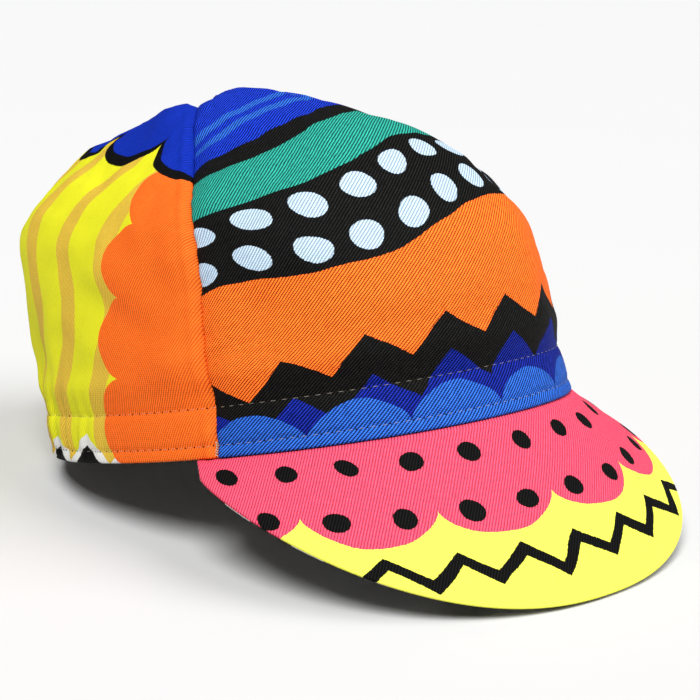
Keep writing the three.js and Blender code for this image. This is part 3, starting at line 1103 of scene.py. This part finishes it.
def stripes_group():
    """Bands of print repeated side by side."""
    inputs = (("Place", "NodeSocketVector"), ("Width", "NodeSocketFloat"), ("Spacing", "NodeSocketFloat"))
    tree, given, result = new_group("stripes", inputs, "Mask", "NodeSocketFloat")
    across = split_place(tree, given.outputs["Place"])[1]
    level = math_node(tree, "PINGPONG", across, math_node(tree, "MULTIPLY", given.outputs["Spacing"], 0.5))
    half_width = math_node(tree, "MULTIPLY", given.outputs["Width"], 0.5)
    tree.links.new(edge_mask(tree, math_node(tree, "SUBTRACT", half_width, level)), result.inputs[0])
    return tree


def dots_group():
    """Rows of round dots from a low level up, with every second row moved by half a space."""
    inputs = (
        ("Place", "NodeSocketVector"),
        ("Low", "NodeSocketFloat"),
        ("Spacing", "NodeSocketFloat"),
        ("Radius", "NodeSocketFloat"),
    )
    tree, given, result = new_group("dots", inputs, "Mask", "NodeSocketFloat")
    spacing = given.outputs["Spacing"]
    forward, across = split_place(tree, given.outputs["Place"])
    line = math_node(tree, "DIVIDE", math_node(tree, "SUBTRACT", across, given.outputs["Low"]), spacing)
    odd = math_node(tree, "FLOORED_MODULO", math_node(tree, "FLOOR", line), 2.0)
    moved = math_node(tree, "MULTIPLY_ADD", odd, 0.5, math_node(tree, "DIVIDE", forward, spacing))
    x = math_node(tree, "SUBTRACT", math_node(tree, "FRACT", moved), 0.5)
    y = math_node(tree, "SUBTRACT", math_node(tree, "FRACT", line), 0.5)
    square = math_node(tree, "ADD", math_node(tree, "MULTIPLY", x, x), math_node(tree, "MULTIPLY", y, y))
    distance = math_node(tree, "MULTIPLY", math_node(tree, "SQRT", square), spacing)
    inside = math_node(tree, "SUBTRACT", given.outputs["Radius"], distance)
    tree.links.new(edge_mask(tree, inside), result.inputs[0])
    return tree


def drawn_group():
    """A place moved a little by slow and fine unevenness, as hand-cut shapes printed on ribs are."""
    inputs = (("Place", "NodeSocketVector"),)
    tree, given, result = new_group("drawn place", inputs, "Place", "NodeSocketVector")
    place = given.outputs[0]
    for scale, amount in ((DRAWN_SCALE, DRAWN_AMOUNT), (SERRATION_SCALE, SERRATION_AMOUNT)):
        noise = noise_node(tree, given.outputs[0], scale, DRAWN_DETAIL)
        centred = vector_node(tree, "SUBTRACT", noise.outputs["Color"], (0.5, 0.5, 0.5))
        place = vector_node(tree, "ADD", place, vector_node(tree, "SCALE", centred, amount))
    tree.links.new(vector_node(tree, "MULTIPLY", place, (1, 1, 0)), result.inputs[0])
    return tree


def twill_group():
    """Height of the cloth's slanting ribs, with a pinhole beside each float of yarn."""
    inputs = (("Place", "NodeSocketVector"), ("Angle", "NodeSocketFloat"))
    tree, given, result = new_group("twill", inputs, "Height", "NodeSocketFloat")
    yarn = noise_node(tree, given.outputs["Place"], YARN_SCALE, YARN_DETAIL).outputs[0]
    forward, across = split_place(tree, turned_place(tree, given.outputs["Place"], given.outputs["Angle"]))
    wander = math_node(tree, "MULTIPLY_ADD", yarn, YARN_WANDER, -YARN_WANDER / 2)
    turn = math_node(tree, "MULTIPLY_ADD", across, TURN / TWILL_PITCH, wander)
    rib = math_node(tree, "MULTIPLY_ADD", math_node(tree, "COSINE", turn), 0.5, 0.5)
    broad = math_node(tree, "POWER", rib, RIB_SHARPNESS)
    half = math_node(tree, "MULTIPLY", turn, 0.5)
    along = math_node(tree, "MULTIPLY_ADD", forward, TURN / FLOAT_PITCH, half)
    knot = math_node(tree, "MULTIPLY_ADD", math_node(tree, "COSINE", along), 0.5, 0.5)
    uneven = math_node(tree, "MULTIPLY_ADD", yarn, YARN_UNEVENNESS, LEAST_RIB)
    strength = math_node(tree, "MULTIPLY_ADD", knot, KNOT_HEIGHT, uneven)
    tree.links.new(math_node(tree, "MULTIPLY", broad, strength), result.inputs[0])
    return tree


def rib_shaded_color_group():
    """The print with painted shade between the weave's ribs and painted highlight on their tops, where pale
    undyed fibre also shows.
    """
    inputs = (
        ("Color", "NodeSocketColor"),
        ("Height", "NodeSocketFloat"),
        ("Place", "NodeSocketVector"),
        ("Contrast", "NodeSocketFloat"),
    )
    tree, given, result = new_group("rib_shaded colour", inputs, "Color", "NodeSocketColor")
    height = given.outputs["Height"]
    brightness = tree.nodes.new("ShaderNodeRGBToBW")
    tree.links.new(given.outputs["Color"], brightness.inputs[0])
    calm = math_node(tree, "MULTIPLY_ADD", brightness.outputs[0], -BRIGHT_INK_CALM, 1.0)
    strength = math_node(tree, "MULTIPLY", calm, given.outputs["Contrast"])
    # Pale cotton mixed onto the rib tops in specks: partly undyed fibre, partly painted highlight
    specks = noise_node(tree, given.outputs["Place"], FIBRE_SCALE, FIBRE_DETAIL).outputs[0]
    fibre_highlight_share = math_node(tree, "MULTIPLY", math_node(tree, "MULTIPLY", specks, height), strength)
    fibre_highlight_share = math_node(tree, "MULTIPLY", fibre_highlight_share, BARE_FIBRE_AND_RIB_HIGHLIGHT)
    fibre_highlit_color = mix_colors(tree, fibre_highlight_share, given.outputs["Color"], linear(COTTON))
    # Darker between the ribs and lighter on their tops: painted shade and painted highlight
    centred = math_node(tree, "SUBTRACT", height, WEAVE_MIDDLE)
    shade = math_node(tree, "MULTIPLY_ADD", centred, strength, 1.0)
    shade = math_node(tree, "MULTIPLY", math_node(tree, "MAXIMUM", shade, DEEPEST_SHADE), INK_DEPTH)
    tree.links.new(vector_node(tree, "SCALE", fibre_highlit_color, shade), result.inputs[0])
    return tree


def millimetre_place(tree, map_name):
    """A place on the flat cloth in millimetres, from one of the mesh's maps."""
    source = tree.nodes.new("ShaderNodeUVMap")
    source.uv_map = map_name
    return vector_node(tree, "SCALE", source.outputs[0], MAP_SIZE)


def laid_print(name, groups, ground, edges, layers, side=1):
    """A print of layers of ink over a ground, drawn a little unevenly.

    Side is minus one where its turned edges turn the other way."""
    tree, given, result = new_group(name, (("Place", "NodeSocketVector"),), "Color", "NodeSocketColor")
    cloth = use_group(tree, groups["drawn"], place=given.outputs[0])
    places = {"cloth": cloth}
    for edge, (kind, turn, height, length) in edges.items():
        angle = side * turn * DEGREE
        places[edge] = use_group(tree, groups[kind], place=cloth, angle=angle, height=height, length=length)
    color = linear(ground)
    for edge, pattern, sizes, ink in layers:
        mask = use_group(tree, groups[pattern], place=places[edge], **sizes)
        color = mix_colors(tree, mask, color, linear(ink))
    tree.links.new(color, result.inputs[0])
    return tree


def new_material(name):
    """A material, its node tree and its shader."""
    material = bpy.data.materials.new(name)
    material.use_nodes = True
    tree = material.node_tree
    return material, tree, tree.nodes["Principled BSDF"]


def add_weave(tree, shader, groups, color, grain, contrast):
    """Shows a colour with painted shade between the weave's ribs and painted highlight on their tops, and
    raises the ribs.
    """
    place = millimetre_place(tree, "cloth")
    height = use_group(tree, groups["twill"], place=place, angle=grain * DEGREE)
    rib_shaded = use_group(tree, groups["rib_shaded"], color=color, height=height, place=place, contrast=contrast)
    tree.links.new(rib_shaded, shader.inputs["Base Color"])
    bump = tree.nodes.new("ShaderNodeBump")
    bump.inputs["Strength"].default_value = WEAVE_BUMP
    bump.inputs["Distance"].default_value = WEAVE_RELIEF
    tree.links.new(height, bump.inputs["Height"])
    tree.links.new(bump.outputs[0], shader.inputs["Normal"])


def cloth_material(name, groups, printed, print_map, grain, contrast):
    """Printed twill: a print with painted shade and highlight along the weave's ribs, and raised ribs."""
    material, tree, shader = new_material(name)
    color = use_group(tree, printed, place=millimetre_place(tree, print_map))
    add_weave(tree, shader, groups, color, grain, contrast)
    shader.inputs["Roughness"].default_value = CLOTH_ROUGHNESS
    shader.inputs["Specular IOR Level"].default_value = CLOTH_SHINE
    return material


def plain_cloth_material(name, groups, color, grain):
    """Unprinted cloth with the same weave, its painted rib shade and highlight, and raised ribs."""
    material, tree, shader = new_material(name)
    add_weave(tree, shader, groups, linear(color), grain, REVERSE_CONTRAST)
    shader.inputs["Roughness"].default_value = REVERSE_ROUGHNESS
    shader.inputs["Specular IOR Level"].default_value = REVERSE_SHINE
    return material


def speckled_material(name, color, dimmest, specks, roughness, shine):
    """A plain colour with a fine unevenness, and its shader."""
    material, tree, shader = new_material(name)
    source = tree.nodes.new("ShaderNodeTexCoord")
    noise = noise_node(tree, source.outputs["Object"], specks, FIBRE_DETAIL)
    full = linear(color)
    dim = (*[part * dimmest for part in full[:3]], 1.0)
    tree.links.new(mix_colors(tree, noise.outputs[0], dim, full), shader.inputs["Base Color"])
    shader.inputs["Roughness"].default_value = roughness
    shader.inputs["Specular IOR Level"].default_value = shine
    return material, shader


def thread_material(name, color, roughness, clearness):
    """Thread, or the shadow in a needle hole."""
    material, shader = speckled_material(name, color, THREAD_DIMMEST, THREAD_SPECKS, roughness, THREAD_SHINE)
    shader.inputs["Alpha"].default_value = 1 - clearness
    return material


def floor_material():
    """The plain pale floor."""
    look = (FLOOR_PALE, FLOOR_DIMMEST, FLOOR_SPECKS, FLOOR_ROUGHNESS, FLOOR_SHINE)
    return speckled_material("pale floor", *look)[0]


def build_groups():
    """All shared node groups by name."""
    return {
        "sine": waved_group("sine"),
        "zigzag": waved_group("zigzag"),
        "scallop": waved_group("scallop"),
        "between": between_group(),
        "stripes": stripes_group(),
        "dots": dots_group(),
        "drawn": drawn_group(),
        "twill": twill_group(),
        "rib_shaded": rib_shaded_color_group(),
    }


# Room

def add_camera():
    """The camera at the photograph's place."""
    data = bpy.data.cameras.new("camera")
    data.sensor_width = CAMERA_SENSOR
    data.lens = CAMERA_LENS
    camera = bpy.data.objects.new("camera", data)
    place = Vector(CAMERA_PLACE) * MILLIMETRE
    back = (place - Vector(CAMERA_TARGET) * MILLIMETRE).normalized()
    turn = back.to_track_quat("Z", "Y").to_matrix().to_4x4()
    roll = Matrix.Rotation(CAMERA_ROLL * DEGREE, 4, "Z")
    camera.matrix_world = Matrix.Translation(place) @ turn @ roll
    bpy.context.collection.objects.link(camera)
    bpy.context.scene.camera = camera


def add_sun(name, source, spread, strength):
    """A very soft far light that shines from a direction."""
    data = bpy.data.lights.new(name, "SUN")
    data.angle = spread * DEGREE
    data.energy = strength
    light = bpy.data.objects.new(name, data)
    light.rotation_mode = "QUATERNION"
    light.rotation_quaternion = Vector(source).to_track_quat("Z", "Y")
    bpy.context.collection.objects.link(light)


def add_room():
    """A wide pale floor, soft far lights and an even pale surround."""
    square = bmesh.new()
    bmesh.ops.create_grid(square, x_segments=1, y_segments=1, size=FLOOR_REACH)
    mesh = bpy.data.meshes.new("floor")
    square.to_mesh(mesh)
    square.free()
    mesh.materials.append(floor_material())
    floor = bpy.data.objects.new("floor", mesh)
    bpy.context.collection.objects.link(floor)
    add_sun("key light", KEY_SOURCE, KEY_SPREAD, KEY_STRENGTH)
    add_sun("fill light", FILL_SOURCE, FILL_SPREAD, FILL_STRENGTH)
    world = bpy.data.worlds.new("surround")
    world.use_nodes = True
    background = world.node_tree.nodes["Background"]
    background.inputs["Color"].default_value = (1.0, 1.0, 1.0, 1.0)
    background.inputs["Strength"].default_value = SURROUND_STRENGTH
    bpy.context.scene.world = world
    bpy.context.scene.view_settings.view_transform = "Standard"


def add_cap():
    """Every visible piece of the cap."""
    groups = build_groups()
    front_print = laid_print("front print", groups, BLACK, FRONT_EDGES, FRONT_LAYERS)
    right_print = laid_print("back right print", groups, YELLOW, BACK_EDGES, BACK_LAYERS)
    left_print = laid_print("back left print", groups, YELLOW, BACK_EDGES, BACK_LAYERS, -1)
    peak_print = laid_print("peak print", groups, PINK, PEAK_EDGES, PEAK_LAYERS)
    under_print = laid_print("under print", groups, BLACK, UNDER_EDGES, UNDER_LAYERS)
    front_cloth = cloth_material("front cloth", groups, front_print, "cloth", FRONT_GRAIN, FRONT_CONTRAST)
    right_cloth = cloth_material("back right cloth", groups, right_print, "cloth", BACK_GRAIN, BACK_CONTRAST)
    left_cloth = cloth_material("back left cloth", groups, left_print, "cloth", BACK_GRAIN, BACK_CONTRAST)
    peak_cloth = cloth_material("peak cloth", groups, peak_print, "layout", PEAK_GRAIN, PEAK_CONTRAST)
    under_cloth = cloth_material("peak under cloth", groups, under_print, "cloth", PEAK_GRAIN, PEAK_CONTRAST)
    reverse = plain_cloth_material("cloth reverse", groups, WHITE, -FRONT_GRAIN)
    tape = plain_cloth_material("tape", groups, TAPE_WHITE, 0)
    thread = thread_material("clear thread", THREAD_CREAM, THREAD_ROUGHNESS, THREAD_CLEARNESS)
    tack_thread = thread_material("tack thread", THREAD_CREAM, TACK_ROUGHNESS, 0)
    # Dark discs painted as the shadow inside the needle holes
    hole = thread_material("needle hole", HOLE_SHADOW, HOLE_ROUGHNESS, 0)
    right, back, left = SEAM_ANGLES
    under_cover = peak_cover("cloth_peak_under", PEAK_CLOTH + PIECE_GAP, UNDER_INSET, under_cloth)
    front = gore("cloth_front", left, right + TURN, front_cloth, reverse)
    back_right = gore("cloth_back_right", right, back, right_cloth, reverse)
    back_left = gore("cloth_back_left", back, left, left_cloth, reverse)
    pieces = (
        (front, "front_cloth", "front_panel"),
        (back_right, "back_cloth", "back_right_panel"),
        (back_left, "back_cloth", "back_left_panel"),
        (inner_tape(tape), "tape", "inner_tape"),
        (peak_cover("cloth_peak_top", 0, 0, peak_cloth), "peak_cloth", "peak_top"),
        (under_cover, "peak_under_cloth", "peak_under"),
    )
    for piece, slot, node in pieces:
        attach(piece, "root")
        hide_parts(node)
    for name, height in (("lower", LOWER_STITCH_HEIGHT), ("upper", UPPER_STITCH_HEIGHT)):
        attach(band_stitches("stitches_" + name, height, thread), "root")
        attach(needle_hole_shadows("needle_hole_shadows_" + name, height, hole), "root")
    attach(seam_tacks(tack_thread), "root")


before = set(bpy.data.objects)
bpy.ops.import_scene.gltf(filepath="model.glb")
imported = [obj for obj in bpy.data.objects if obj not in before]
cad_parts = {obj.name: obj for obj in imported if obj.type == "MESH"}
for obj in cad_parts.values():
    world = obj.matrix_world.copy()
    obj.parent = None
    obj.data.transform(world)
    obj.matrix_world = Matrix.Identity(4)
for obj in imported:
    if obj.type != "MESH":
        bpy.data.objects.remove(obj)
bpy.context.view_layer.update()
add_camera()
add_room()
add_cap()
